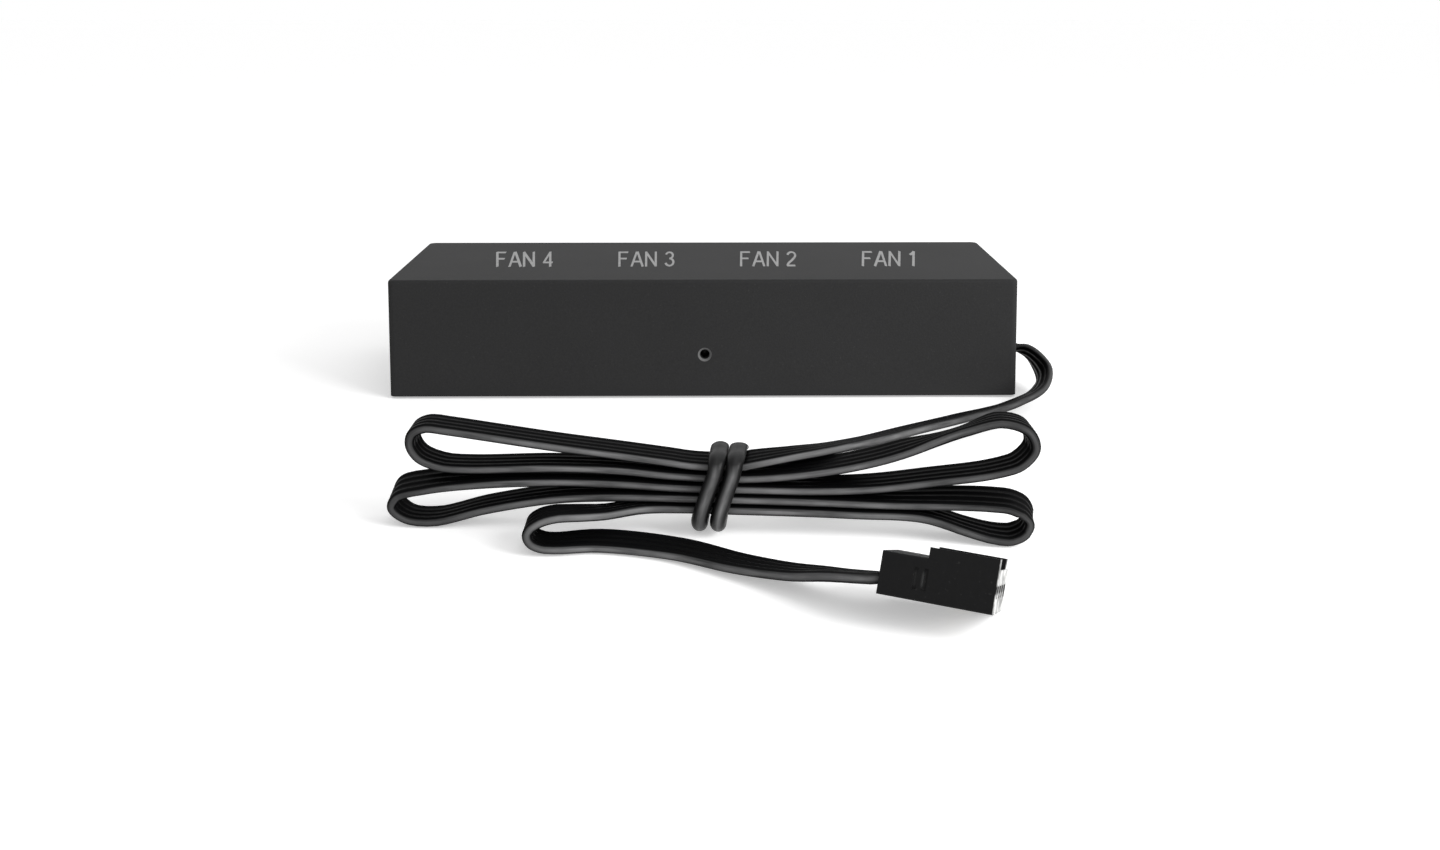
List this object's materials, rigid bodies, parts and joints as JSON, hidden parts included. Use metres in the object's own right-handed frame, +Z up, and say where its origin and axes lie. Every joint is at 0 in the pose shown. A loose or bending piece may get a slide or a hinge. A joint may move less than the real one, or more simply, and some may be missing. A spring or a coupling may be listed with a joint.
{
  "type": "pc fan controller hub",
  "caption": "Low black moulded hub case with a row of pin headers in its back wall, and a flat ribbed cord from its end wall to a tied hank and an open socket plug.",
  "frame": {"origin": "under the middle of the case, on the surface it rests on", "axes": "+X along the case towards the wall the cord leaves, +Y from the plain front wall to the wall with the headers, +Z up"},
  "size_m": [0.1052, 0.1276, 0.0192],
  "materials": {
    "case_plastic": "fine matte moulded texture",
    "board": "solder mask",
    "lens": "clear lens",
    "package": "moulded package",
    "can": "plain can",
    "steel": "zinc plated",
    "header_plastic": "satin",
    "contact_metal": "plated",
    "cord_skin": "soft and glossy",
    "tie_rubber": "soft sheen",
    "plug_plastic": "satin",
    "foam": "closed foam"
  },
  "bodies": {
    "root": {"top_cover": "case_plastic", "base_plate": "case_plastic", "circuit_board": "board", "fan_header_1": "header_plastic", "fan_header_2": "header_plastic", "fan_header_3": "header_plastic", "fan_header_4": "header_plastic", "header_pins_1": "contact_metal", "header_pins_2": "contact_metal", "header_pins_3": "contact_metal", "header_pins_4": "contact_metal", "status_light": "lens", "controller_chip": "package", "filter_capacitor": "can", "chip_resistors": "package", "board_screws": "steel", "case_screws": "steel", "cord_clamp": "header_plastic", "clamp_screws": "steel", "cord_leads": "cord_skin", "mounting_pad": "foam", "cord_run": "cord_skin", "cord_hank": "cord_skin", "cord_tail": "cord_skin", "cord_tie": "tie_rubber", "plug_housing": "plug_plastic", "plug_contacts": "contact_metal"}
  },
  "joints": []
}
